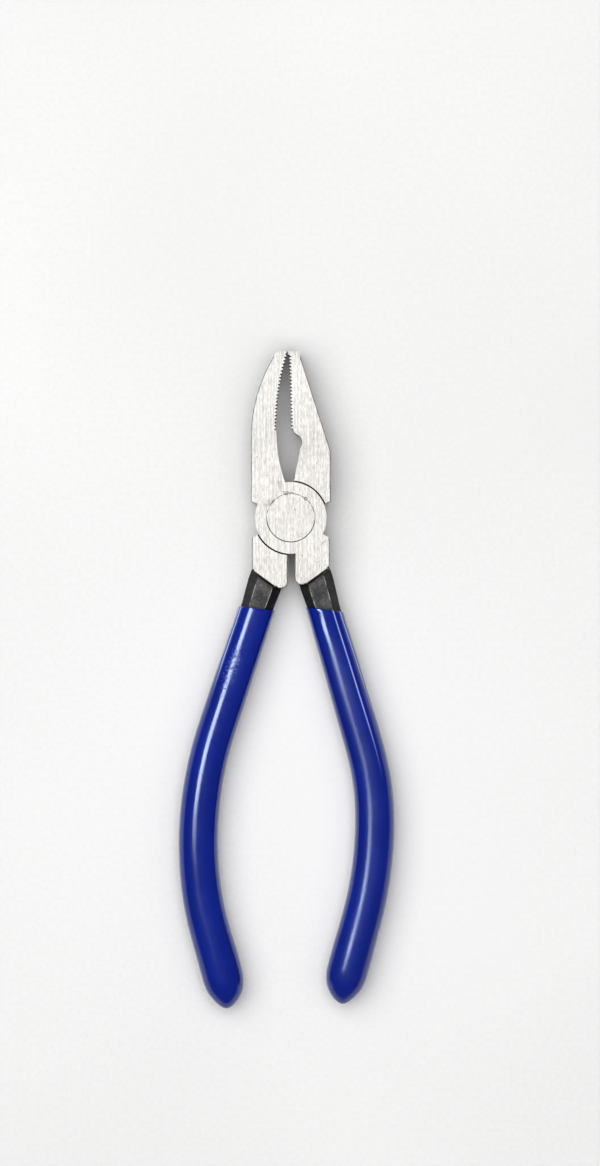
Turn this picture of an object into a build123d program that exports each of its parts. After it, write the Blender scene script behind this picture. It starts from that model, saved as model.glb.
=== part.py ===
"""Glass breaking and grozing pliers, 160 mm long: two forged levers, a pivot rivet and two dipped grips.

The tool lies flat. The origin is on the pivot axis, in the plane that the head rests on. +Z runs up the
rivet, +Y towards the jaw tips and +X towards the flat jaw. The lap joint crosses the levers over: the curved
jaw on the left goes with the right handle, and its half of the lap is on top. All sizes are in millimetres.
"""

from build123d import *
import math
import os

UP = (Align.CENTER, Align.CENTER, Align.MIN)  # stands a cylinder on its plane

# Head
HEAD_THICKNESS = 10.0
HEAD_HALF_WIDTH = 9.65  # outer edge of both jaws beside the pivot
SHOULDER_HALF_WIDTH = 9.4  # outer edge of both shoulders below the pivot
LAP_GAP = 0.04  # running gap between the two lap faces
DISC_RADIUS = 8.7  # round boss of each lap half
RECESS_RADIUS = 9.08  # seat in the other lever that this boss turns in
BOSS_OVERLAP_RADIUS = 5.2  # jaws and shoulders run this far into the boss that they join
NOTCH_TOP_ANGLE = 23.0  # stop face under each jaw, above the X axis
NOTCH_LOW_ANGLE = 27.0  # stop face over each shoulder, below the X axis
EDGE_BREAK = 0.22  # small bevel round the ground faces
FOOT_RISE = 4.4  # the slanted foot climbs this far above its toe
FOOT_SLANT = 36.0
TOE_RADIUS = 1.65
SKIRT_INSET = 0.5  # the forged step starts this far in from the shoulder's side
SKIRT_RUN = 0.7
SKIRT_DROP = 1.0
SKIRT_LENGTH = 6.4
RIGHT_SLOT_X, RIGHT_TOE_Y = 1.0, -16.1
LEFT_SLOT_X, LEFT_TOE_Y = 0.75, -16.8

# Jaws
TIP_Y = 40.45
TIP_CORNER = 0.45
CONTACT_X = -0.66  # where the closed tips meet
CONTACT_GAP = 0.04
TOOTH_PITCH = 0.83
TOOTH_DEPTH = 0.44
TOOTH_CREST_SHARE = 0.28  # flat top of a tooth, as a share of the pitch
TOOTH_ROOT_SHARE = 0.16  # flat bottom between two teeth
TIP_BEVEL_LENGTH = 1.5  # the ground faces fall away at the very tip
TIP_BEVEL_DROP = 0.55
THROAT_HALF_WIDTH = 4.3  # every edge that faces the other jaw lies within this of the middle

# Curved jaw, on the left
CURVED_BACK_START_Y = 19.0  # the straight outer edge becomes an arc here
CURVED_TIP_OUTER_X = -3.6
CURVED_BACK_MID = (-7.85, 31.0)
CURVED_TEETH_RADIUS = 65.0
CURVED_TEETH_LOW = (-3.80, 21.4)  # the arc of teeth is vertical here
CURVED_TEETH_TOP_Y = 39.7
CURVED_STEP = (-3.48, 21.0)
CURVED_THROAT_MID = (-2.95, 14.6)
CURVED_THROAT_LOW = (-1.3, 8.4)

# Flat jaw, on the right
FLAT_TIP_OUTER_X = 2.05
FLAT_BACK_LOW_Y = 16.2  # the sloping outer edge becomes straight here
FLAT_TEETH_TOP = (-0.12, 39.2)
FLAT_TEETH_LOW = (0.36, 21.5)
FLAT_PAD_LOW_Y = 39.65
FLAT_HEEL = (0.8, 20.7)
FLAT_HOLLOW_TOP = (1.75, 20.1)
FLAT_HOLLOW_MID = (2.72, 18.9)
FLAT_HOLLOW_LOW = (2.36, 16.9)
FLAT_THROAT_LOW = (0.8, 8.9)

# Pivot rivet, peened into the flat-jaw lever and turning in the other
RIVET_HEAD_RADIUS = 5.9
RIVET_HEAD_DEPTH = 2.6
RIVET_SHANK_RADIUS = 3.6
RIVET_TAIL_RADIUS = 4.9
RIVET_TAIL_DEPTH = 1.9
RIVET_HEAD_CLEARANCE = 0.05
RIVET_SHANK_CLEARANCE = 0.04
RIVET_EDGE_BREAK = 0.06

# Grips
GRIP_MID_Z = HEAD_THICKNESS / 2
DIP_TILT = 7.0  # slope of the line that the dipping left
ABOVE_DIP = (40.0, 20.0, 40.0)  # block that takes off the sleeve above the dip line
LIP_RADIUS = 0.18
NOSE_LENGTH = 8.5
NOSE_TIP = 0.76  # the nose is half an ellipse that is narrowed to this share at the tip
NOSE_TAPER = 0.6  # and it is narrowed over this share of its length


class Handle:
    """Centreline of a handle: straight run, two arcs about its widest point, straight run, bent nose. The
    nose bends back to the direction of the tool's axis."""

    def __init__(self, side, apex, upper_radius, upper_lean, lower_radius, lower_lean, nose_radius,
                 tip_y, dip_y):
        self.side = side
        self.apex_x, self.apex_y = apex
        self.upper_radius, self.upper_lean = upper_radius, math.radians(upper_lean)
        self.lower_radius, self.lower_lean = lower_radius, math.radians(lower_lean)
        self.nose_radius = nose_radius
        self.tip_y = tip_y
        self.dip_y = dip_y
        self.upper_y = self.apex_y + upper_radius * math.sin(self.upper_lean)
        self.lower_y = self.apex_y - lower_radius * math.sin(self.lower_lean)
        self.nose_y = tip_y + nose_radius * math.sin(self.lower_lean)

    def out_and_lean(self, y):
        """Distance out from the tool's middle at height y, and the run's outward lean there, in radians."""
        if y > self.upper_y:
            at_arc = self.apex_x - self.upper_radius * (1 - math.cos(self.upper_lean))
            return at_arc - (y - self.upper_y) * math.tan(self.upper_lean), self.upper_lean
        if y > self.apex_y:
            lean = math.asin((y - self.apex_y) / self.upper_radius)
            return self.apex_x - self.upper_radius * (1 - math.cos(lean)), lean
        if y > self.lower_y:
            lean = math.asin((self.apex_y - y) / self.lower_radius)
            return self.apex_x - self.lower_radius * (1 - math.cos(lean)), -lean
        at_arc = self.apex_x - self.lower_radius * (1 - math.cos(self.lower_lean))
        if y > self.nose_y:
            return at_arc - (self.lower_y - y) * math.tan(self.lower_lean), -self.lower_lean
        at_nose = at_arc - (self.lower_y - self.nose_y) * math.tan(self.lower_lean)
        lean = math.asin((y - self.tip_y) / self.nose_radius)
        bend = self.nose_radius * (math.cos(lean) - math.cos(self.lower_lean))
        return at_nose - bend, -lean

    def plane(self, y):
        """Plane square across the handle at height y, with its X along the width and its Y the thickness."""
        out, lean = self.out_and_lean(y)
        along = (self.side * math.sin(lean), -math.cos(lean), 0)
        across = (math.cos(lean), self.side * math.sin(lean), 0)
        return Plane(origin=(self.side * out, y, GRIP_MID_Z), x_dir=across, z_dir=along)


LEFT_HANDLE = Handle(-1, (22.5, -79.3), 90.0, 18.4, 80.0, 16.0, 37.0, tip_y=-119.4, dip_y=-21.9)
RIGHT_HANDLE = Handle(1, (20.45, -73.5), 65.0, 16.3, 92.0, 15.5, 28.0, tip_y=-118.3, dip_y=-22.2)

# Height along the handle, then the tang's width and thickness there. From the last one it tapers evenly.
TANG_ROOT_STATIONS = ((-12.0, 7.2, 8.0), (-15.0, 8.4, 8.0), (-18.5, 8.1, 8.0))
TANG_TAPER_START = (-23.0, 7.6, 7.8)
TANG_END_ABOVE_TIP = 9.5
TANG_END_SIZE = (4.6, 4.4)
TANG_TAPER_STATIONS = 9
TANG_FACE_SHARE = 0.5  # flat face as a share of the width; the rest is the two bevelled flanks
TANG_SIDE_SHARE = 0.45

# Grip width, thickness and corner roundness, where 1 is a full round, at its top, middle and nose.
GRIP_START_Y = -16.0  # the loft starts above the dip line and is cut back to it
GRIP_FULL_Y = -33.0
GRIP_TOP_SIZE = (8.35, 8.7, 0.66)
GRIP_FULL_SIZE = (9.05, 9.3, 0.72)
GRIP_NOSE_SIZE = (9.95, 9.7, 0.95)
GRIP_STATIONS = 12
NOSE_STATIONS = (0.72, 0.5, 0.33, 0.2, 0.1, 0.04, 0.013)  # share of the nose's length below each section


def blend(start, end, share):
    """Sizes a share, 0 to 1, of the way from start to end."""
    return tuple(a + (b - a) * share for a, b in zip(start, end))


def polar(radius, degrees):
    """Point at that radius and angle about the pivot."""
    return (radius * math.cos(math.radians(degrees)), radius * math.sin(math.radians(degrees)))


def toothed_points(count, crest, root):
    """Blunt teeth as points. crest and root give a point for a share, 0 to 1, of the toothed length."""
    points = [root(0.0)]
    for tooth in range(count):
        points.append(root((tooth + TOOTH_ROOT_SHARE / 2) / count))
        points.append(crest((tooth + 0.5 - TOOTH_CREST_SHARE / 2) / count))
        points.append(crest((tooth + 0.5 + TOOTH_CREST_SHARE / 2) / count))
        points.append(root((tooth + 1 - TOOTH_ROOT_SHARE / 2) / count))
    return points + [root(1.0)]


def curved_teeth():
    """Teeth down the curved jaw, from the tip to the throat, on an arc whose centre is to the right."""
    low_x, low_y = CURVED_TEETH_LOW
    centre_x = low_x + CURVED_TEETH_RADIUS
    sweep = math.asin((CURVED_TEETH_TOP_Y - low_y) / CURVED_TEETH_RADIUS)
    count = round(CURVED_TEETH_RADIUS * sweep / TOOTH_PITCH)

    def on_arc(radius):
        return lambda share: (
            centre_x - radius * math.cos(sweep * (1 - share)),
            low_y + radius * math.sin(sweep * (1 - share)),
        )

    crest = on_arc(CURVED_TEETH_RADIUS - TOOTH_DEPTH / 2)
    root = on_arc(CURVED_TEETH_RADIUS + TOOTH_DEPTH / 2)
    return toothed_points(count, crest, root)


def flat_teeth():
    """Teeth up the flat jaw, from the throat to the tip, along a straight line."""
    (low_x, low_y), (top_x, top_y) = FLAT_TEETH_LOW, FLAT_TEETH_TOP
    count = round(math.dist(FLAT_TEETH_LOW, FLAT_TEETH_TOP) / TOOTH_PITCH)

    def on_line(offset):
        return lambda share: (low_x + (top_x - low_x) * share + offset, low_y + (top_y - low_y) * share)

    return toothed_points(count, on_line(-TOOTH_DEPTH / 2), on_line(TOOTH_DEPTH / 2))


def curved_jaw():
    """Plan of the curved jaw, from the pivot boss to the tip and back down its toothed side."""
    notch_in = polar(BOSS_OVERLAP_RADIUS, 180 - NOTCH_TOP_ANGLE)
    notch_out = (-HEAD_HALF_WIDTH, HEAD_HALF_WIDTH * math.tan(math.radians(NOTCH_TOP_ANGLE)))
    back_start = (-HEAD_HALF_WIDTH, CURVED_BACK_START_Y)
    back_end = (CURVED_TIP_OUTER_X, TIP_Y - TIP_CORNER)
    tip_outer = (CURVED_TIP_OUTER_X + TIP_CORNER, TIP_Y)
    tip_inner = (CONTACT_X - CONTACT_GAP / 2, TIP_Y)
    boss_end = (CURVED_THROAT_LOW[0] / 2, BOSS_OVERLAP_RADIUS)
    sides = [
        Polyline(notch_in, notch_out, back_start),
        ThreePointArc(back_start, CURVED_BACK_MID, back_end),
        Polyline(back_end, tip_outer, tip_inner, *curved_teeth(), CURVED_STEP),
        ThreePointArc(CURVED_STEP, CURVED_THROAT_MID, CURVED_THROAT_LOW),
        Polyline(CURVED_THROAT_LOW, boss_end, notch_in),
    ]
    return make_face([edge for side in sides for edge in side.edges()])


def flat_jaw():
    """Plan of the flat jaw, from the boss up its hollow and teeth to the tip, and down the sloping back."""
    boss_start = (FLAT_THROAT_LOW[0] / 2, BOSS_OVERLAP_RADIUS)
    pad_low = (CONTACT_X + CONTACT_GAP / 2, FLAT_PAD_LOW_Y)
    pad_top = (CONTACT_X + CONTACT_GAP / 2, TIP_Y)
    tip_outer = (FLAT_TIP_OUTER_X - TIP_CORNER, TIP_Y)
    back_top = (FLAT_TIP_OUTER_X, TIP_Y - TIP_CORNER)
    back_low = (HEAD_HALF_WIDTH, FLAT_BACK_LOW_Y)
    notch_out = (HEAD_HALF_WIDTH, HEAD_HALF_WIDTH * math.tan(math.radians(NOTCH_TOP_ANGLE)))
    notch_in = polar(BOSS_OVERLAP_RADIUS, NOTCH_TOP_ANGLE)
    sides = [
        Polyline(boss_start, FLAT_THROAT_LOW, FLAT_HOLLOW_LOW),
        ThreePointArc(FLAT_HOLLOW_LOW, FLAT_HOLLOW_MID, FLAT_HOLLOW_TOP),
        Polyline(FLAT_HOLLOW_TOP, FLAT_HEEL, *flat_teeth(), pad_low, pad_top, tip_outer, back_top, back_low,
                 notch_out, notch_in, boss_start),
    ]
    return make_face([edge for side in sides for edge in side.edges()])


def shoulder(side, slot_x, toe_y):
    """Plan of the ground face below the pivot: stop face, straight side, slanted foot and slot wall."""
    stop_in = polar(BOSS_OVERLAP_RADIUS, -NOTCH_LOW_ANGLE)
    stop_out = (SHOULDER_HALF_WIDTH, -SHOULDER_HALF_WIDTH * math.tan(math.radians(NOTCH_LOW_ANGLE)))
    side_low = (SHOULDER_HALF_WIDTH, toe_y + FOOT_RISE)
    toe = (slot_x, side_low[1] - (SHOULDER_HALF_WIDTH - slot_x) * math.tan(math.radians(FOOT_SLANT)))
    wall_top = (slot_x, -BOSS_OVERLAP_RADIUS)
    face = make_face(Polyline(stop_in, stop_out, side_low, toe, wall_top, stop_in).edges())
    face = fillet(face.vertices().sort_by(Axis.Y)[0], TOE_RADIUS)
    return face if side > 0 else mirror(face, about=Plane.YZ)


def foot_skirt(side, toe_y):
    """Forged step under the slanted foot, where the ground face drops to the black face of the tang."""
    slant = math.radians(FOOT_SLANT)
    start_x = SHOULDER_HALF_WIDTH - SKIRT_INSET
    start_y = toe_y + FOOT_RISE - SKIRT_INSET * math.tan(slant)
    outward = (math.sin(slant), -math.cos(slant), 0)
    down_slant = (-math.cos(slant), -math.sin(slant), 0)
    frame = Plane(origin=(start_x, start_y, HEAD_THICKNESS), x_dir=outward, z_dir=down_slant)
    low = -HEAD_THICKNESS
    back_top, back_low = (-SKIRT_RUN, 0), (-SKIRT_RUN, low)
    step_top, step_low = (SKIRT_RUN, -SKIRT_DROP), (SKIRT_RUN, low + SKIRT_DROP)
    profile = Polyline(back_top, (0, 0), step_top, step_low, (0, low), back_low, back_top)
    skirt = extrude(frame * make_face(profile.edges()), SKIRT_LENGTH)
    return skirt if side > 0 else mirror(skirt, about=Plane.YZ)


def bevelled_bar(width, thickness):
    """Eight-sided section of a tang, with flat faces top and bottom and bevelled flanks."""
    half_w, half_t = width / 2, thickness / 2
    face_w, face_t = half_w * TANG_FACE_SHARE, half_t * TANG_SIDE_SHARE
    corners = [(face_w, half_t), (half_w, face_t), (half_w, -face_t), (face_w, -half_t),
               (-face_w, -half_t), (-half_w, -face_t), (-half_w, face_t), (-face_w, half_t)]
    return make_face(Polyline(*corners, corners[0]).edges())


def tang(handle):
    """Forged bar inside a handle, tapering towards its end."""
    end = (handle.tip_y + TANG_END_ABOVE_TIP, *TANG_END_SIZE)
    shares = [step / TANG_TAPER_STATIONS for step in range(TANG_TAPER_STATIONS + 1)]
    stations = [*TANG_ROOT_STATIONS, *(blend(TANG_TAPER_START, end, share) for share in shares)]
    return loft([handle.plane(y) * bevelled_bar(width, thickness) for y, width, thickness in stations])


def tip_bevel(side):
    """Wedge that comes off a ground face at the jaw tips. side is 1 for the top face, -1 for the bottom."""
    start = (TIP_Y - TIP_BEVEL_LENGTH, HEAD_THICKNESS)
    past_tip = TIP_Y + 1.0
    slope = TIP_BEVEL_DROP / TIP_BEVEL_LENGTH
    low = (past_tip, HEAD_THICKNESS - slope * (past_tip - start[0]))
    high = (past_tip, HEAD_THICKNESS + 1.0)
    back = (start[0], HEAD_THICKNESS + 1.0)
    wedge = Plane.YZ * make_face(Polyline(start, low, high, back, start).edges())
    wedge = extrude(wedge, HEAD_HALF_WIDTH, both=True)
    return wedge if side > 0 else mirror(wedge, about=Plane.XY.offset(HEAD_THICKNESS / 2))


def bevelled_plate(plan):
    """Plate of the head's full thickness. Its outer edges are bevelled; the teeth and throat stay sharp."""
    plate = extrude(plan, HEAD_THICKNESS)

    def is_outer(edge):
        middle = edge.center()
        on_face = abs(abs(middle.Z - HEAD_THICKNESS / 2) - HEAD_THICKNESS / 2) < 0.01
        outside_lap = math.hypot(middle.X, middle.Y) > RECESS_RADIUS
        faces_throat = middle.Y > 0 and abs(middle.X) < THROAT_HALF_WIDTH
        return on_face and outside_lap and not faces_throat

    return chamfer(plate.edges().filter_by(is_outer), EDGE_BREAK)


def rivet_tail():
    """Peened end of the rivet, which fills the countersink in the flat-jaw lever."""
    cone = Cone(RIVET_TAIL_RADIUS, RIVET_SHANK_RADIUS, RIVET_TAIL_DEPTH, align=UP)
    return cone + Cylinder(RIVET_SHANK_RADIUS, HEAD_THICKNESS / 2, align=UP)


def pivot_rivet():
    """One-piece rivet: a wide flush head on top, a shank and the peened tail."""
    head = Cylinder(RIVET_HEAD_RADIUS, RIVET_HEAD_DEPTH, align=UP)
    head = Pos(0, 0, HEAD_THICKNESS - RIVET_HEAD_DEPTH) * head
    head = chamfer(head.edges().sort_by(Axis.Z)[-1], RIVET_EDGE_BREAK)
    shank = Cylinder(RIVET_SHANK_RADIUS, HEAD_THICKNESS - RIVET_HEAD_DEPTH, align=UP)
    return rivet_tail() + shank + head


def curved_jaw_lever():
    """Top half of the lap: curved jaw on the left, right handle, and the bore that the rivet turns in."""
    head = bevelled_plate(curved_jaw()) + bevelled_plate(shoulder(1, RIGHT_SLOT_X, RIGHT_TOE_Y))
    head += Cylinder(DISC_RADIUS, HEAD_THICKNESS, align=UP)
    head -= Cylinder(RECESS_RADIUS, HEAD_THICKNESS / 2 + LAP_GAP / 2, align=UP)
    head -= tip_bevel(1) + tip_bevel(-1)
    head += foot_skirt(1, RIGHT_TOE_Y) + tang(RIGHT_HANDLE)
    head -= Cylinder(RIVET_SHANK_RADIUS + RIVET_SHANK_CLEARANCE, HEAD_THICKNESS, align=UP)
    seat_z = HEAD_THICKNESS - RIVET_HEAD_DEPTH - LAP_GAP
    seat = Pos(0, 0, seat_z) * Cylinder(RIVET_HEAD_RADIUS + RIVET_HEAD_CLEARANCE, HEAD_THICKNESS, align=UP)
    return head - seat


def flat_jaw_lever():
    """Bottom half of the lap: flat jaw on the right, left handle, and the countersink for the rivet."""
    head = bevelled_plate(flat_jaw()) + bevelled_plate(shoulder(-1, LEFT_SLOT_X, LEFT_TOE_Y))
    head += Cylinder(DISC_RADIUS, HEAD_THICKNESS, align=UP)
    head -= Pos(0, 0, HEAD_THICKNESS / 2 - LAP_GAP / 2) * Cylinder(RECESS_RADIUS, HEAD_THICKNESS, align=UP)
    head -= tip_bevel(1) + tip_bevel(-1)
    head += foot_skirt(-1, LEFT_TOE_Y) + tang(LEFT_HANDLE)
    return head - rivet_tail()


def nose_scale(share):
    """Size of the nose where that share of its length is left below: a rounded cone."""
    taper = (1 - NOSE_TIP) * max(1 - share / NOSE_TAPER, 0) ** 2
    return math.sqrt(1 - (1 - share) ** 2) * (1 - taper)


def grip_size(y, nose_y):
    """Width, thickness and roundness of a grip at height y, above its nose."""
    if y > GRIP_FULL_Y:
        return blend(GRIP_TOP_SIZE, GRIP_FULL_SIZE, (GRIP_START_Y - y) / (GRIP_START_Y - GRIP_FULL_Y))
    return blend(GRIP_FULL_SIZE, GRIP_NOSE_SIZE, (GRIP_FULL_Y - y) / (GRIP_FULL_Y - nose_y))


def grip_section(handle, y, width, thickness, roundness):
    """Rounded section of a grip, square across the handle at height y."""
    return handle.plane(y) * RectangleRounded(width, thickness, roundness * min(width, thickness) / 2)


def grip(handle, lever):
    """Dipped plastic sleeve over a tang, with a slanted upper edge and a blunt nose."""
    nose_y = handle.tip_y + NOSE_LENGTH
    stations = []
    for step in range(GRIP_STATIONS + 1):
        y = GRIP_START_Y + (nose_y - GRIP_START_Y) * step / GRIP_STATIONS
        stations.append((y, *grip_size(y, nose_y)))
    for share in NOSE_STATIONS:
        width, thickness, roundness = GRIP_NOSE_SIZE
        scale = nose_scale(share)
        stations.append((handle.tip_y + NOSE_LENGTH * share, width * scale, thickness * scale, roundness))
    sleeve = loft([grip_section(handle, *station) for station in stations])
    dip_x = handle.side * handle.out_and_lean(handle.dip_y)[0]
    above_dip = Box(*ABOVE_DIP, align=(Align.CENTER, Align.MIN, Align.CENTER))
    sleeve -= Pos(dip_x, handle.dip_y, GRIP_MID_Z) * Rot(0, 0, -DIP_TILT) * above_dip
    lip = sleeve.faces().sort_by(Axis.Y)[-1]
    sleeve = fillet(lip.edges(), LIP_RADIUS)
    return sleeve - lever


def main():
    os.makedirs("parts", exist_ok=True)
    curved_lever = curved_jaw_lever()
    flat_lever = flat_jaw_lever()
    parts = {
        "curved_jaw_lever": curved_lever,
        "flat_jaw_lever": flat_lever,
        "pivot_rivet": pivot_rivet(),
        "curved_lever_grip": grip(RIGHT_HANDLE, curved_lever),
        "flat_lever_grip": grip(LEFT_HANDLE, flat_lever),
    }
    for name, shape in parts.items():
        export_step(shape, f"parts/{name}.step")


main()
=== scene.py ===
"""Looks of the glass breaking and grozing pliers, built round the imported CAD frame. Lengths are in metres.

The two forged levers and the rivet keep their CAD shapes and get their metal here. The dipped grips are
built here from the sizes of the CAD grips, with the lip, the ridges and the slight waves that the dipping
left.
"""

import math
import random

import bpy
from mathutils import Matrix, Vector
from mathutils.bvhtree import BVHTree


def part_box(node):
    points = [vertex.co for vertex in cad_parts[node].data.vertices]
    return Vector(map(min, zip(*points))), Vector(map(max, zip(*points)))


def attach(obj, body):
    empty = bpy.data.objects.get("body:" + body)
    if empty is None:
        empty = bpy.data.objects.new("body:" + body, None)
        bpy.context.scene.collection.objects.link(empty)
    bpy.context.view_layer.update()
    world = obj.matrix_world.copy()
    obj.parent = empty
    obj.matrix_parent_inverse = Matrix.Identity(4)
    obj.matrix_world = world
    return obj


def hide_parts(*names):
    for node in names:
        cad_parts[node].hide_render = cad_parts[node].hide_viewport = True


MM = 0.001
random.seed(7)

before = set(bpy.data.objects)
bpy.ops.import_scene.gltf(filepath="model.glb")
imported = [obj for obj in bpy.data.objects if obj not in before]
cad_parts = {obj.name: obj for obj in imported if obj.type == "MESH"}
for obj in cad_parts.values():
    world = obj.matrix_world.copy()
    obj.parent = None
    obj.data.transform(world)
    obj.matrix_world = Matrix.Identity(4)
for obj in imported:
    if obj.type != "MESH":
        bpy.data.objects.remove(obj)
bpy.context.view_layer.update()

LEVERS = ("curved_jaw_lever", "flat_jaw_lever")
MID_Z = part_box("curved_jaw_lever")[1].z / 2
TIP_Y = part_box("curved_jaw_lever")[1].y
RIVET_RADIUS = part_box("pivot_rivet")[1].x
RIVET_POINTS = [vertex.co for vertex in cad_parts["pivot_rivet"].data.vertices]
TAIL_RADIUS = max(math.hypot(point.x, point.y) for point in RIVET_POINTS if point.z < MID_Z / 2)

# Colours are linear red, green and blue. Patterns are counted in grains to the metre across the tool,
# along it and up.

# Ground faces
GROUND_LIGHT = (0.665, 0.648, 0.627, 1)
GROUND_DARK = (0.425, 0.412, 0.391, 1)
GROUND_STAIN = (0.15, 0.12, 0.10, 1)
GROUND_METAL = 0.55  # below 1, the scattered light off the fine grinding shows from every side
GROUND_ROUGH = (0.62, 0.54)  # roughness in the dark and in the bright grains
GROUND_GRAIN = (4200, 620, 1300)
GROUND_STREAKS = (2600, 80, 300)
STREAK_SHARE = 0.60  # how strongly the long streaks show beside the grain
SPECKS = (1500, 700, 700)
CLOUDY_STAINS = (110, 80, 80)
CRUMBS = (1100, 1100, 1100)  # they break up the marks and the edges of the ground faces
FACE_EDGE = (0.12 * MM, 0.02 * MM)  # a ground face fades in between these depths under its plane
FACE_RAGGED = 0.12 * MM  # and that edge wanders by this much
TIP_GROUND = (1.7 * MM, 1.4 * MM)  # the jaws' tips are ground too, over this length
LEVEL = (0.50, 0.62)  # a face turns from upright to level between these tilts

# Marks on the ground faces, in millimetres: centre, half length, half width, turn in degrees, darkness
FACE_MARKS = (
    ((-0.6, 6.2), 2.5, 0.20, -6, 0.95),  # scratches above the rivet
    ((-0.9, 5.85), 1.1, 0.45, -5, 0.85),
    ((1.3, 5.7), 1.3, 0.20, -14, 0.7),
    ((-2.5, 8.0), 1.9, 0.9, -62, 0.30),  # faint stain above them
    ((-5.6, 3.5), 1.7, 1.0, 40, 0.35),  # brown stain beside the rivet
    ((-4.4, 3.9), 1.1, 0.35, 50, 0.60),
    ((7.9, -6.0), 1.3, 0.16, 47, 0.70),  # arc scratched on the right shoulder
    ((6.95, -11.6), 0.7, 0.14, 75, 0.6),
    ((2.75, -9.2), 0.35, 0.2, 15, 0.9),
)
PUNCH = (3.6 * MM, 4.6 * MM)  # centre of a small ring stamped on the edge of the rivet
PUNCH_RADIUS = 0.36 * MM
PUNCH_LINE = (0.17 * MM, 0.07 * MM)  # half widths of the ring's faint and of its dark line
PUNCH_DARKNESS = 0.85

# Black forged skin
FORGED_BLACK = (0.008, 0.008, 0.009, 1)
FORGED_SCALE = (0.042, 0.041, 0.040, 1)
FORGED_WORN_AND_GLINT = (0.55, 0.54, 0.51, 1)
FORGED_ROUGH = (0.40, 0.60)
FORGED_METAL = 0.25
# painted shade: the colour that the inner corners are darkened towards
CORNER_SHADE_BLACK = (0.003, 0.003, 0.003, 1)
CORNER_REACH = 1.0 * MM  # the painted shade in an inner corner reaches this far out of it
EDGE_REACH = 0.3 * MM  # the outer edges are worn bright over this width, partly bare steel and partly a painted highlight
SCALE_GRAIN = (900, 900, 900)
SCALE_PATCHES = (520, 380, 520)
WORN_GLINT_PATCHES = (1300, 420, 1300)
SCALE_DEPTH = 0.05 * MM
GRAIN_SHARE = 0.15  # depth of the ground grain on the levers, as a share of the scale's

# Rivet
RIVET_GRAIN_DEPTH = 0.008 * MM
RIM = (0.26 * MM, 0.10 * MM)  # the painted shade line along the rivet's gap fades in between these distances from the rivet's edge
RIM_DOTS = (900, 900, 900)
HEAD_SHADE_Y = (0.5 * MM, -1.5 * MM)  # above this the painted shade line round the head is only dotted, and below it is full

# Dipped vinyl
GRIP_BLUE = (0.0013, 0.0110, 0.215, 1)
GRIP_BLUE_DEEP = (0.0009, 0.0085, 0.180, 1)
# painted highlight colour of the thin lines down the grips
PAINTED_HIGHLIGHT_BLUE = (0.42, 0.49, 1.0, 1)
SCUFF_BLUE = (0.010, 0.025, 0.200, 1)
GRIP_SHEEN = (0.70, 0.84, 1.0, 1)
GRIP_IOR = 1.53
GRIP_SPECULAR = 0.72
GRIP_CLOUDS = (120, 60, 120)
GRIP_SKIN = (260, 140, 260)
SKIN_DEPTH = 0.004 * MM
HELD_Y = (-25 * MM, -38 * MM)  # the vinyl's roughness changes between these places
SCUFFS = ((-14.7 * MM, -36.8 * MM), 8.5 * MM, 2.2 * MM, 71)  # centre, half length, half width, turn
NICKS = (1500, 2400, 1500)
SCUFF_DEPTH = 2.2  # as a share of the skin's

# Floor
FLOOR_WHITE = (0.78, 0.775, 0.77, 1)
FLOOR_SHADE = 0.93  # brightness of its darker clouds
FLOOR_CLOUDS = (6, 6, 6)
FLOOR_FIBRES = (900, 900, 900)
FIBRE_DEPTH = 0.02 * MM
FLOOR_SIZE = 3.0

LOOK_SAMPLES = 8  # rays that feel for an edge or a corner


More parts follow.
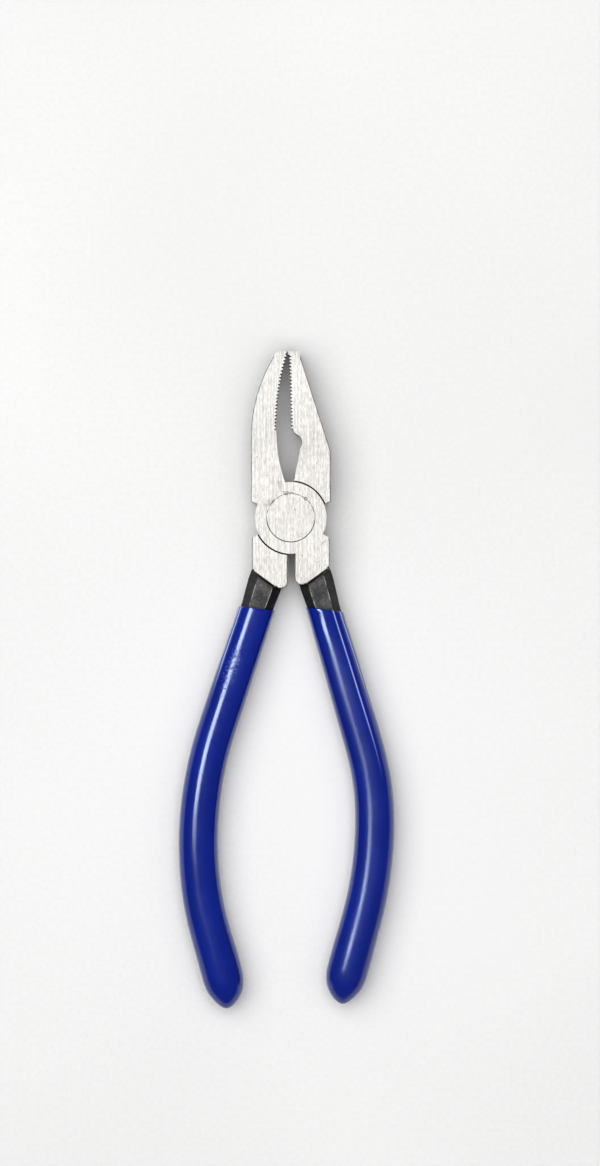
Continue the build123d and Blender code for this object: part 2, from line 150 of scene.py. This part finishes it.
class Shader:
    """A node material, with short ways to add the nodes that the materials below are made of."""

    def __init__(self, name):
        self.material = bpy.data.materials.new(name)
        self.material.use_nodes = True
        self.tree = self.material.node_tree
        self.surface = self.tree.nodes["Principled BSDF"]
        coordinates = self.tree.nodes.new("ShaderNodeTexCoord")
        self.place = coordinates.outputs["Object"]
        self.normal = coordinates.outputs["Normal"]

    def link(self, value, socket):
        """Puts an output, a number or a colour on a socket."""
        if isinstance(value, bpy.types.NodeSocket):
            self.tree.links.new(value, socket)
        else:
            socket.default_value = value

    def put(self, name, value):
        """Puts an output, a number or a colour on one of the surface's sockets."""
        self.link(value, self.surface.inputs[name])

    def math(self, operation, a, b=0.0):
        node = self.tree.nodes.new("ShaderNodeMath")
        node.operation = operation
        self.link(a, node.inputs[0])
        self.link(b, node.inputs[1])
        return node.outputs[0]

    def plus(self, a, b):
        return self.math("ADD", a, b)

    def minus(self, a, b):
        return self.math("SUBTRACT", a, b)

    def times(self, a, b):
        return self.math("MULTIPLY", a, b)

    def larger(self, a, b):
        return self.math("MAXIMUM", a, b)

    def between(self, share, a, b):
        """Number a where share is 0, and b where it is 1."""
        return self.plus(self.times(share, b), self.times(self.minus(1.0, share), a))

    def axes(self, vector):
        """The x, y and z of a vector."""
        node = self.tree.nodes.new("ShaderNodeSeparateXYZ")
        self.link(vector, node.inputs[0])
        return node.outputs

    def length(self, x, y):
        """Distance of the point x, y from 0, 0."""
        squares = self.plus(self.math("POWER", x, 2.0), self.math("POWER", y, 2.0))
        return self.math("POWER", squares, 0.5)

    def step(self, value, low, high, to_low=0.0, to_high=1.0):
        """Smooth change from to_low to to_high as value goes from low to high."""
        node = self.tree.nodes.new("ShaderNodeMapRange")
        node.interpolation_type = "SMOOTHSTEP"
        self.link(value, node.inputs["Value"])
        node.inputs["From Min"].default_value = low
        node.inputs["From Max"].default_value = high
        node.inputs["To Min"].default_value = to_low
        node.inputs["To Max"].default_value = to_high
        return node.outputs["Result"]

    def noise(self, per_metre, detail, roughness=0.5):
        """Cloudy pattern round 0.5, with that many grains to the metre along x, y and z."""
        stretch = self.tree.nodes.new("ShaderNodeVectorMath")
        stretch.operation = "MULTIPLY"
        self.link(self.place, stretch.inputs[0])
        stretch.inputs[1].default_value = per_metre
        node = self.tree.nodes.new("ShaderNodeTexNoise")
        self.link(stretch.outputs[0], node.inputs["Vector"])
        node.inputs["Scale"].default_value = 1.0
        node.inputs["Detail"].default_value = detail
        node.inputs["Roughness"].default_value = roughness
        return node.outputs["Fac"]

    def mix(self, share, a, b):
        """Colour a where share is 0, and b where it is 1."""
        node = self.tree.nodes.new("ShaderNodeMix")
        node.data_type = "RGBA"
        self.link(share, node.inputs[0])
        self.link(a, node.inputs[6])
        self.link(b, node.inputs[7])
        return node.outputs[2]

    def bump(self, height, depth, strength):
        """Sets the surface's bump from a height of 0 to 1 over that depth."""
        node = self.tree.nodes.new("ShaderNodeBump")
        node.inputs["Strength"].default_value = strength
        node.inputs["Distance"].default_value = depth
        self.link(height, node.inputs["Height"])
        self.put("Normal", node.outputs["Normal"])

    def edges(self, radius):
        """0 on flat ground, and up to 1 within that radius of an edge."""
        bevel = self.tree.nodes.new("ShaderNodeBevel")
        bevel.samples = LOOK_SAMPLES
        bevel.inputs["Radius"].default_value = radius
        geometry = self.tree.nodes.new("ShaderNodeNewGeometry")
        dot = self.tree.nodes.new("ShaderNodeVectorMath")
        dot.operation = "DOT_PRODUCT"
        self.link(bevel.outputs[0], dot.inputs[0])
        self.link(geometry.outputs["True Normal"], dot.inputs[1])
        return self.step(dot.outputs["Value"], 0.995, 0.95)

    def openness(self, reach):
        """1 in the open, and less where other faces close in on a point within that reach."""
        node = self.tree.nodes.new("ShaderNodeAmbientOcclusion")
        node.samples = LOOK_SAMPLES
        node.inputs["Distance"].default_value = reach
        return node.outputs["AO"]

    def upper(self):
        """1 on the upper half of the tool, and 0 on the lower half."""
        return self.math("GREATER_THAN", self.axes(self.place)["Z"], MID_Z)

    def spot(self, centre, half_length, half_width, turn):
        """1 inside an oval on the upper face, turned by that many degrees, fading to 0 at its edge."""
        place = self.axes(self.place)
        x = self.minus(place["X"], centre[0])
        y = self.minus(place["Y"], centre[1])
        cos, sin = math.cos(math.radians(turn)), math.sin(math.radians(turn))
        along = self.math("DIVIDE", self.plus(self.times(x, cos), self.times(y, sin)), half_length)
        aside = self.math("DIVIDE", self.minus(self.times(y, cos), self.times(x, sin)), half_width)
        return self.times(self.step(self.length(along, aside), 1.0, 0.4), self.upper())


def ground_colour(shader):
    """Colour of a ground face, and its grain: bright steel with the grain along the tool, and the marks of
    handling."""
    grain = shader.noise(GROUND_GRAIN, detail=3, roughness=0.75)
    streaks = shader.noise(GROUND_STREAKS, detail=2)
    light = shader.step(shader.plus(grain, shader.times(streaks, STREAK_SHARE)), 0.611, 0.969)
    colour = shader.mix(light, GROUND_DARK, GROUND_LIGHT)
    specks = shader.step(shader.noise(SPECKS, detail=3), 0.66, 0.76, 0.0, 0.6)
    stains = shader.step(shader.noise(CLOUDY_STAINS, detail=2), 0.56, 0.78, 0.0, 0.12)
    marks = shader.larger(specks, stains)
    broken = shader.step(shader.noise(CRUMBS, detail=2), 0.32, 0.52)
    for (x, y), half_length, half_width, turn, darkness in FACE_MARKS:
        mark = shader.spot((x * MM, y * MM), half_length * MM, half_width * MM, turn)
        marks = shader.larger(marks, shader.times(shader.times(mark, broken), darkness))
    colour = shader.mix(marks, colour, GROUND_STAIN)
    place = shader.axes(shader.place)
    from_punch = shader.length(shader.minus(place["X"], PUNCH[0]), shader.minus(place["Y"], PUNCH[1]))
    off_ring = shader.math("ABSOLUTE", shader.minus(from_punch, PUNCH_RADIUS))
    punched = shader.times(shader.step(off_ring, *PUNCH_LINE, 0.0, PUNCH_DARKNESS), shader.upper())
    return shader.mix(punched, colour, GROUND_STAIN), grain


def forged_colour(shader, tilt):
    """Colour of the black forged skin, and its scale: patchy oxide, paler on the flats, with painted shade
    in the inner corners, and worn bright along its outer edges, partly real bare steel and partly a painted
    highlight. tilt is 1 on a level face and 0 on an upright one."""
    scale = shader.noise(SCALE_GRAIN, detail=5, roughness=0.6)
    patches = shader.step(shader.noise(SCALE_PATCHES, detail=4, roughness=0.65), 0.41, 0.57)
    paler = shader.times(patches, shader.step(tilt, 0.70, 0.95, 0.35, 1.0))
    colour = shader.mix(paler, FORGED_BLACK, FORGED_SCALE)
    open_air = shader.openness(CORNER_REACH)
    # painted shade, darker in the inner corners
    colour = shader.mix(shader.step(open_air, 0.98, 0.80), colour, CORNER_SHADE_BLACK)
    # painted highlight mixed with real worn edges: the outer edges are lightened in patches
    pale_share = shader.step(shader.noise(WORN_GLINT_PATCHES, detail=3), 0.40, 0.58)
    wear_and_glint = shader.times(shader.edges(EDGE_REACH), pale_share)
    wear_and_glint = shader.times(wear_and_glint, shader.step(open_air, 0.84, 0.97))
    colour = shader.mix(wear_and_glint, colour, FORGED_WORN_AND_GLINT)
    worn = shader.step(scale, 0.60, 0.72, 0.0, 0.16)
    return shader.mix(worn, colour, FORGED_WORN_AND_GLINT), scale


def lever_steel():
    """Forged steel that is black all over except for the faces that were ground flat."""
    shader = Shader("lever_steel")
    place = shader.axes(shader.place)
    tilt = shader.math("ABSOLUTE", shader.axes(shader.normal)["Z"])
    from_middle = shader.math("ABSOLUTE", shader.minus(place["Z"], MID_Z))
    ragged = shader.plus(from_middle, shader.times(shader.noise(CRUMBS, detail=2), FACE_RAGGED))
    on_face = shader.step(ragged, MID_Z - FACE_EDGE[0], MID_Z - FACE_EDGE[1])
    on_tip = shader.step(place["Y"], TIP_Y - TIP_GROUND[0], TIP_Y - TIP_GROUND[1])
    ground = shader.times(shader.larger(on_face, on_tip), shader.step(tilt, *LEVEL))
    bright, grain = ground_colour(shader)
    black, scale = forged_colour(shader, tilt)
    ground_rough = shader.step(grain, 0.2, 0.8, *GROUND_ROUGH)
    forged_rough = shader.step(scale, 0.3, 0.7, *FORGED_ROUGH)
    shader.put("Base Color", shader.mix(ground, black, bright))
    shader.put("Metallic", shader.step(ground, 0.0, 1.0, FORGED_METAL, GROUND_METAL))
    shader.put("Roughness", shader.between(ground, forged_rough, ground_rough))
    height = shader.between(ground, scale, shader.times(grain, GRAIN_SHARE))
    shader.bump(height, SCALE_DEPTH, strength=0.7)
    return shader.material


def rivet_steel():
    """Ground rivet: the same grain as the levers, with a painted shade line along the gap round the lower
    half of its head, dotted round the upper half, and all round its tail on the underside."""
    shader = Shader("rivet_steel")
    place = shader.axes(shader.place)
    bright, grain = ground_colour(shader)
    radius = shader.length(place["X"], place["Y"])

    def rim(edge):
        """1 on the narrow ring just inside that radius."""
        return shader.step(radius, edge - RIM[0], edge - RIM[1])

    dotted = shader.step(shader.noise(RIM_DOTS, detail=1), 0.48, 0.60, 0.0, 0.6)
    head = shader.times(rim(RIVET_RADIUS), shader.larger(dotted, shader.step(place["Y"], *HEAD_SHADE_Y)))
    tail = shader.times(rim(TAIL_RADIUS), shader.math("LESS_THAN", place["Z"], MID_Z))
    # painted shade in the gaps round the head and the tail
    shader.put("Base Color", shader.mix(shader.larger(head, tail), bright, FORGED_BLACK))
    shader.put("Metallic", GROUND_METAL)
    shader.put("Roughness", shader.step(grain, 0.2, 0.8, *GROUND_ROUGH))
    shader.bump(grain, RIVET_GRAIN_DEPTH, strength=0.7)
    return shader.material


def grip_plastic(name, rough_top, rough_low, ripple, scuffed):
    """Glossy blue dipped vinyl, with painted highlight lines where the piece's line attribute is 1. Its
    roughness goes from rough_top under the lip to rough_low at the middle, where it is held. ripple is the
    height of the skin's slow ripples."""
    shader = Shader(name)
    pale = shader.tree.nodes.new("ShaderNodeAttribute")
    pale.attribute_name = "pale_share"
    clouds = shader.step(shader.noise(GRIP_CLOUDS, detail=2), 0.35, 0.65)
    skin = shader.noise(GRIP_SKIN, detail=2)
    colour = shader.mix(clouds, GRIP_BLUE_DEEP, GRIP_BLUE)
    # painted highlight lines down the grip
    colour = shader.mix(pale.outputs["Fac"], colour, PAINTED_HIGHLIGHT_BLUE)
    held = shader.step(shader.axes(shader.place)["Y"], *HELD_Y, rough_top, rough_low)
    rough = shader.plus(held, shader.step(skin, 0.35, 0.70, 0.0, 0.04))
    height = shader.times(skin, ripple)
    if scuffed:
        nicks = shader.step(shader.noise(NICKS, detail=3), 0.50, 0.60)
        scuff = shader.times(shader.spot(*SCUFFS), nicks)
        colour = shader.mix(shader.times(scuff, 0.12), colour, SCUFF_BLUE)
        rough = shader.plus(rough, shader.times(scuff, 0.30))
        height = shader.plus(height, shader.times(scuff, SCUFF_DEPTH))
    shader.put("Base Color", colour)
    shader.put("Roughness", rough)
    shader.put("IOR", GRIP_IOR)
    shader.put("Specular IOR Level", GRIP_SPECULAR)
    shader.put("Specular Tint", GRIP_SHEEN)
    shader.bump(height, SKIN_DEPTH, strength=0.2)
    return shader.material


def dress(node, material):
    """Gives a CAD node its material."""
    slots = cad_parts[node].data.materials
    slots.clear()
    slots.append(material)


# Measuring the CAD grips
SLICES = 120  # places where the CAD grip is measured
REACH = 60 * MM  # rays that measure it start this far out
LIP_CLEAR = 3 * MM  # the slanted lip is above this, where a level slice would cut only one side
LIP_MIDDLE = 0.55 * MM  # the middle of the lip, below its highest point
LEAN_SLICES = 6  # the line up to the lip goes on as these slices lean
TIP_SLICE = 0.05 * MM  # the vertices this close to the lowest one mark the tip
MIDDLE_ROUNDS = 2  # the middle line is measured again this often, square to itself
MIDDLE_PASSES = 6  # rounds of smoothing of the middle line, each time
SECTION_PASSES = 10  # rounds of smoothing of the widths, the thicknesses and the directions
ASIDE = 0.01  # a direction is taken from the points this share of the way up and down the grip

# Shape of the dipped grips
RINGS = 240  # sections along a grip
SPOKES = 300  # points round a section
LIP_TAPER = 0.06 * MM  # the plastic thins by this much on each face towards the lip
LIP_TAPER_LENGTH = 9 * MM
LIP_RADIUS = 0.22 * MM
LIP_RINGS = 4
LIP_INSET = 0.45  # the lip's face runs in under the plastic by this share of the width
DIP_TILT = math.radians(7.0)
DIP_FADE = 14 * MM  # the slant of the lip is gone this far down the grip
FACETS_GONE = 0.42  # share of the way down where the section has turned from facets to a smooth oval
LIP_POWER, OVAL_POWER, NOSE_POWER = 2.6, 2.35, 2.05  # powers of the oval section: 2 is a true ellipse
POWER_TURN = 0.5  # share of the way down where the oval's power starts to change towards the nose's
NOSE_LENGTH = 8.5 * MM
NOSE_TIP = 0.76  # the nose is half an ellipse that is narrowed to this share at the tip
NOSE_TAPER = 0.6  # and it is narrowed over this share of its length
NOSE_BENDS = 12  # points on the curve that takes the middle line to the tip
NOSE_LEAD = 4  # that curve sets off as the line leans over its last points, this many of them
NOSE_SHARE = 0.12  # the last part of the grip, where the rings crowd together
WAVE = 0.012 * MM  # height of the slight waves
WAVE_TURNS = 23  # radians of wave from the lip to the nose
WAVE_SWING = 2  # radians that the waves lead and lag round the section
LINE_FADE = 0.5  # a painted highlight line fades out from this share of its length
LIFT_SPREAD = 2.2  # the plastic lifts over this many times the width of the painted highlight line
UP = Vector((0, 0, 1))


class Line:
    """A thin painted highlight line down a grip, over an edge of the forging that may lift the plastic.
    turn_top and turn_end are where the line is at the lip and at its end, in degrees round the section
    from straight up, with the right side positive. half_width is in the same degrees, end is the share of
    the way down the grip where the line ends, and lift is how far it raises the plastic."""

    def __init__(self, turn_top, turn_end, half_width, end, lift=0.0):
        self.turn_top = turn_top
        self.turn_end = turn_end
        self.half_width = half_width
        self.end = end
        self.lift = lift

    def at(self, turn, share, spread=1.0):
        """1 on the line and 0 away from it."""
        place = self.turn_top + (self.turn_end - self.turn_top) * share / self.end
        fade = 1 - smooth((share / self.end - LINE_FADE) / (1 - LINE_FADE))
        return fade * math.exp(-(((turn - place) / (self.half_width * spread)) ** 2))


class Facets:
    """Section of the grip near its lip, over the flats of the tang: left and right edge of the upper flat,
    height of its left edge and height of the side flats, as shares of half the width and thickness."""

    def __init__(self, left, right, left_height, side, sharpness):
        self.sharpness = sharpness
        corners = (
            (right, 1.0), (1.0, side), (1.0, -side), (right, -1.0),
            (left, -1.0), (-1.0, -side), (-1.0, side), (left, left_height),
        )
        self.flats = []
        for start, end in zip(corners, corners[1:] + corners[:1]):
            out = Vector((start[1] - end[1], end[0] - start[0])).normalized()
            if out.dot(Vector(start)) < 0:
                out = -out
            self.flats.append((out, out.dot(Vector(start))))

    def radius(self, u, v):
        """How far out the section is in that direction, when half its width and thickness are 1."""
        nearness = (max(out.x * u + out.y * v, 0.0) / away for out, away in self.flats)
        return sum(near ** self.sharpness for near in nearness) ** (-1 / self.sharpness)


class Section:
    """One section of a grip: its middle, its direction across, and half its width and thickness."""

    def __init__(self, share, middle, across, half_width, half_thickness):
        self.share = share
        self.middle = middle
        self.across = across
        self.along = Vector((across.y, -across.x, 0))
        self.half_width = half_width
        self.half_thickness = half_thickness


def smooth(share):
    share = min(max(share, 0.0), 1.0)
    return share * share * (3 - 2 * share)


def smoothed(values, passes):
    """Evens out the small steps of the CAD facets."""
    for _ in range(passes):
        inner = [(a + 2 * b + c) / 4 for a, b, c in zip(values, values[1:], values[2:])]
        values = [values[0], *inner, values[-1]]
    return values


def oval_radius(u, v, power):
    return (abs(u) ** power + abs(v) ** power) ** (-1 / power)


def across_line(before, after):
    """Level unit vector square to the line from before to after, pointing right as the line runs down."""
    along = after - before
    return Vector((-along.y, along.x, 0)).normalized()


def nose_curve(before, start, tip):
    """Points on the curve that goes on from start, in the direction of the line from before, and ends at
    the tip."""
    corner = start + (start - before).normalized() * (tip - start).length / 2
    shares = [bend / NOSE_BENDS for bend in range(1, NOSE_BENDS + 1)]
    return [start.lerp(corner, share).lerp(corner.lerp(tip, share), share) for share in shares]


def nose_scale(from_tip):
    """Size of the section at that distance from the tip, as a share of the full section."""
    left = min(from_tip / NOSE_LENGTH, 1.0)
    taper = (1 - NOSE_TIP) * max(1 - left / NOSE_TAPER, 0) ** 2
    return math.sqrt(1 - (1 - left) ** 2) * (1 - taper)


def ring_share(ring):
    """Share of the way down for each ring: even, and then closer and closer together on the nose."""
    even = ring / RINGS
    into_nose = (even - 1 + NOSE_SHARE) / NOSE_SHARE
    return even if into_nose < 0 else 1 - NOSE_SHARE + NOSE_SHARE * math.sin(math.pi / 2 * into_nose)


def measure_grip(node):
    """Sections of a CAD grip from its lip to its nose, its tip and its length, measured on its outside."""
    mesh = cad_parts[node].data
    tree = BVHTree.FromPolygons([v.co for v in mesh.vertices], [p.vertices for p in mesh.polygons])
    low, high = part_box(node)

    def span(middle, direction):
        """Where a line through the middle enters and leaves the grip."""
        enter = tree.ray_cast(middle - direction * REACH, direction)[0]
        leave = tree.ray_cast(middle + direction * REACH, -direction)[0]
        return enter, leave

    first_y, last_y = high.y - LIP_CLEAR, low.y + NOSE_LENGTH
    middles = []
    for step in range(SLICES + 1):
        level = Vector(((low.x + high.x) / 2, first_y + (last_y - first_y) * step / SLICES, MID_Z))
        enter, leave = span(level, Vector((1, 0, 0)))
        middles.append((enter + leave) / 2)
    for _ in range(MIDDLE_ROUNDS):
        ends = [middles[0], *middles, middles[-1]]
        for index in range(len(middles)):
            enter, leave = span(middles[index], across_line(ends[index], ends[index + 2]))
            middles[index] = (enter + leave) / 2
        middles = smoothed(middles, MIDDLE_PASSES)
    lean = (middles[0] - middles[LEAN_SLICES]).normalized()
    lip = middles[0] + lean * (high.y - LIP_MIDDLE - middles[0].y) / lean.y
    lowest = [vertex.co for vertex in mesh.vertices if vertex.co.y < low.y + TIP_SLICE]
    tip = Vector((sum(point.x for point in lowest) / len(lowest), low.y, MID_Z))
    line = [lip, *middles, *nose_curve(middles[-NOSE_LEAD], middles[-1], tip)]
    lengths = [0.0]
    for a, b in zip(line, line[1:]):
        lengths.append(lengths[-1] + (b - a).length)
    length = lengths[-1]

    def on_line(share):
        """Point of the middle line at that share of the way down."""
        wanted = min(max(share, 0.0), 1.0) * length
        index = next(i for i in range(len(line) - 1) if lengths[i + 1] >= wanted - 1e-9)
        past = (wanted - lengths[index]) / (lengths[index + 1] - lengths[index])
        return line[index].lerp(line[index + 1], past)

    shares = [ring_share(ring) for ring in range(RINGS)]
    widths, thicknesses, acrosses = [], [], []
    first, last = lengths[1] / length, 1 - NOSE_LENGTH / length
    for share in shares:
        inside = min(max(share, first), last)
        across = across_line(on_line(inside - ASIDE), on_line(inside + ASIDE))
        for direction, halves in ((across, widths), (UP, thicknesses)):
            enter, leave = span(on_line(inside), direction)
            halves.append((leave - enter).length / 2)
        acrosses.append(across_line(on_line(share - ASIDE), on_line(share + ASIDE)))
    widths = smoothed(widths, SECTION_PASSES)
    thicknesses = smoothed(thicknesses, SECTION_PASSES)
    acrosses = smoothed(acrosses, SECTION_PASSES)
    sections = []
    for share, across, width, thickness in zip(shares, acrosses, widths, thicknesses):
        scale = nose_scale((1 - share) * length)
        thickness -= LIP_TAPER * (1 - smooth(share * length / LIP_TAPER_LENGTH))
        across = across.normalized()
        sections.append(Section(share, on_line(share), across, width * scale, thickness * scale))
    return sections, tip, length


def sleeve_faces(rings, tip):
    """Faces between the rings of a sleeve, and the fan from the last ring to the point with index tip."""
    faces = []
    for ring in range(rings - 1):
        for spoke in range(SPOKES):
            here, beside = ring * SPOKES + spoke, ring * SPOKES + (spoke + 1) % SPOKES
            faces.append((here, beside, beside + SPOKES, here + SPOKES))
    last = (rings - 1) * SPOKES
    faces += [(last + spoke, last + (spoke + 1) % SPOKES, tip) for spoke in range(SPOKES)]
    return faces


def build_grip(name, node, body, facets, lines, material):
    """Dipped sleeve: a sweep down the CAD grip's middle line, from the rolled lip to the closed nose."""
    sections, tip, length = measure_grip(node)
    dip = Vector((math.sin(DIP_TILT), math.cos(DIP_TILT), 0))
    phase = random.uniform(0, 2 * math.pi)
    points, pale_share = [], []

    def add_ring(section, inset=0.0, down=0.0):
        """One section, made smaller all round by inset and moved down the grip by down."""
        share = section.share
        rounded = smooth(share / FACETS_GONE)
        power = LIP_POWER + (OVAL_POWER - LIP_POWER) * rounded
        power += (NOSE_POWER - OVAL_POWER) * smooth((share - POWER_TURN) / (1 - POWER_TURN))
        faceted = 1 - rounded if facets else 0
        slant = -section.across.dot(dip) / section.along.dot(dip)
        slant *= 1 - smooth(share * length / DIP_FADE)
        calm = 1 - smooth((share - 1 + 2 * NOSE_SHARE) / NOSE_SHARE)
        for spoke in range(SPOKES):
            angle = 2 * math.pi * spoke / SPOKES
            u, v = math.cos(angle), math.sin(angle)
            radius = oval_radius(u, v, power)
            if faceted:
                radius += faceted * (facets.radius(u, v) - radius)
            aside, rise = u * radius * section.half_width, v * radius * section.half_thickness
            wave = math.sin(share * WAVE_TURNS + phase + WAVE_SWING * math.sin(angle))
            turn = math.degrees(math.atan2(u, v))
            lift = WAVE * calm * wave
            lift += sum(line.lift * line.at(turn, share, spread=LIFT_SPREAD) for line in lines)
            # painted highlight of the lines, handed to the material as a mesh attribute
            pale_share.append(sum(line.at(turn, share) for line in lines))
            out = 1 + (lift - inset) / math.hypot(aside, rise)
            aside, rise = aside * out, rise * out
            point = section.middle + section.across * aside + UP * rise
            points.append(point + section.along * (slant * aside + down))

    lip = sections[0]
    add_ring(lip, inset=lip.half_width * LIP_INSET)
    for ring in range(LIP_RINGS):
        turn = math.pi / 2 * ring / LIP_RINGS
        add_ring(lip, inset=LIP_RADIUS * (1 - math.sin(turn)), down=LIP_RADIUS * (1 - math.cos(turn)))
    for section in sections[1:]:
        add_ring(section)
    faces = sleeve_faces(len(points) // SPOKES, len(points))
    points.append(tip)
    pale_share.append(0.0)
    mesh = bpy.data.meshes.new(name)
    mesh.from_pydata(points, [], faces)
    mesh.shade_smooth()
    mesh.materials.append(material)
    mesh.attributes.new("pale_share", "FLOAT", "POINT").data.foreach_set("value", pale_share)
    piece = bpy.data.objects.new(name, mesh)
    bpy.context.scene.collection.objects.link(piece)
    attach(piece, body)
    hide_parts(node)


# Light and camera
CAMERA_DISTANCE = 1.5
VIEW_HEIGHT = 283.7 * MM  # length that the picture shows, at the height of the tool's middle
VIEW_CENTRE = (2.24 * MM, -15.8 * MM)
STUDIO_WHITE = (0.95, 0.97, 1.0, 1)
STUDIO_STRENGTH = 0.11


def add_floor():
    shader = Shader("floor_paper")
    fibres = shader.noise(FLOOR_FIBRES, detail=4)
    clouds = shader.noise(FLOOR_CLOUDS, detail=2)
    tone = shader.plus(shader.times(fibres, 0.25), shader.times(clouds, 0.5))
    shaded = tuple(FLOOR_SHADE * channel for channel in FLOOR_WHITE[:3]) + (1,)
    shader.put("Base Color", shader.mix(shader.step(tone, 0.25, 0.5), shaded, FLOOR_WHITE))
    shader.put("Roughness", 0.85)
    shader.bump(fibres, FIBRE_DEPTH, strength=0.4)
    bpy.ops.mesh.primitive_grid_add(x_subdivisions=8, y_subdivisions=8, size=FLOOR_SIZE)
    floor = bpy.context.object
    floor.name = "floor"
    floor.data.materials.append(shader.material)


def add_light(name, place, size, power, gloss=True, diffuse=True):
    """Rectangular soft light above the tool, its second side along the tool, tipped sideways to face it.
    Without gloss it has no reflection of its own, and without diffuse it gives nothing but one."""
    data = bpy.data.lights.new(name, "AREA")
    data.shape = "RECTANGLE"
    data.size, data.size_y = size
    data.energy = power
    light = bpy.data.objects.new(name, data)
    light.location = place
    light.visible_glossy = gloss
    light.visible_diffuse = diffuse
    light.rotation_euler = (0, math.atan2(place[0] - VIEW_CENTRE[0], place[2]), 0)
    bpy.context.scene.collection.objects.link(light)


def add_lights():
    """A narrow window that the gloss mirrors, and two wide lights that give the soft shadows."""
    add_light("window", place=(-0.235, 0.395, 0.78), size=(0.22, 0.96), power=9.0, diffuse=False)
    add_light("sky", place=(-0.25, 0.20, 0.95), size=(1.3, 1.3), power=13.9, gloss=False)
    add_light("fill", place=(0.30, -0.15, 1.00), size=(1.3, 1.3), power=4.4, gloss=False)
    world = bpy.data.worlds.new("studio")
    world.use_nodes = True
    background = world.node_tree.nodes["Background"]
    background.inputs["Color"].default_value = STUDIO_WHITE
    background.inputs["Strength"].default_value = STUDIO_STRENGTH
    bpy.context.scene.world = world
    bpy.context.scene.view_settings.view_transform = "Standard"


def add_camera():
    """Camera straight above the tool, looking down."""
    data = bpy.data.cameras.new("camera")
    data.sensor_fit = "VERTICAL"
    data.lens = data.sensor_height * CAMERA_DISTANCE / VIEW_HEIGHT
    camera = bpy.data.objects.new("camera", data)
    camera.location = (*VIEW_CENTRE, MID_Z + CAMERA_DISTANCE)
    bpy.context.scene.collection.objects.link(camera)
    bpy.context.scene.camera = camera


steel = lever_steel()
for lever in LEVERS:
    dress(lever, steel)
dress("pivot_rivet", rivet_steel())
build_grip(
    "left_grip_sleeve", node="flat_lever_grip", body="flat_jaw_half", facets=None,
    lines=[
        Line(-66, -70, half_width=3.2, end=0.24),
        Line(-53, -50, half_width=2.2, end=0.24),
    ],
    material=grip_plastic(
        "grip_plastic_left", rough_top=0.12, rough_low=0.13, ripple=1.0, scuffed=True,
    ),
)
build_grip(
    "right_grip_sleeve", node="curved_lever_grip", body="curved_jaw_half",
    facets=Facets(left=-0.64, right=0.52, left_height=0.96, side=0.50, sharpness=6.5),
    lines=[
        Line(25.6, 32, half_width=1.5, end=0.45, lift=0.08 * MM),
        Line(51.5, 63, half_width=2.0, end=0.30),
    ],
    material=grip_plastic(
        "grip_plastic_right", rough_top=0.08, rough_low=0.20, ripple=0.4, scuffed=False,
    ),
)
add_floor()
add_lights()
add_camera()

bpy.context.view_layer.update()
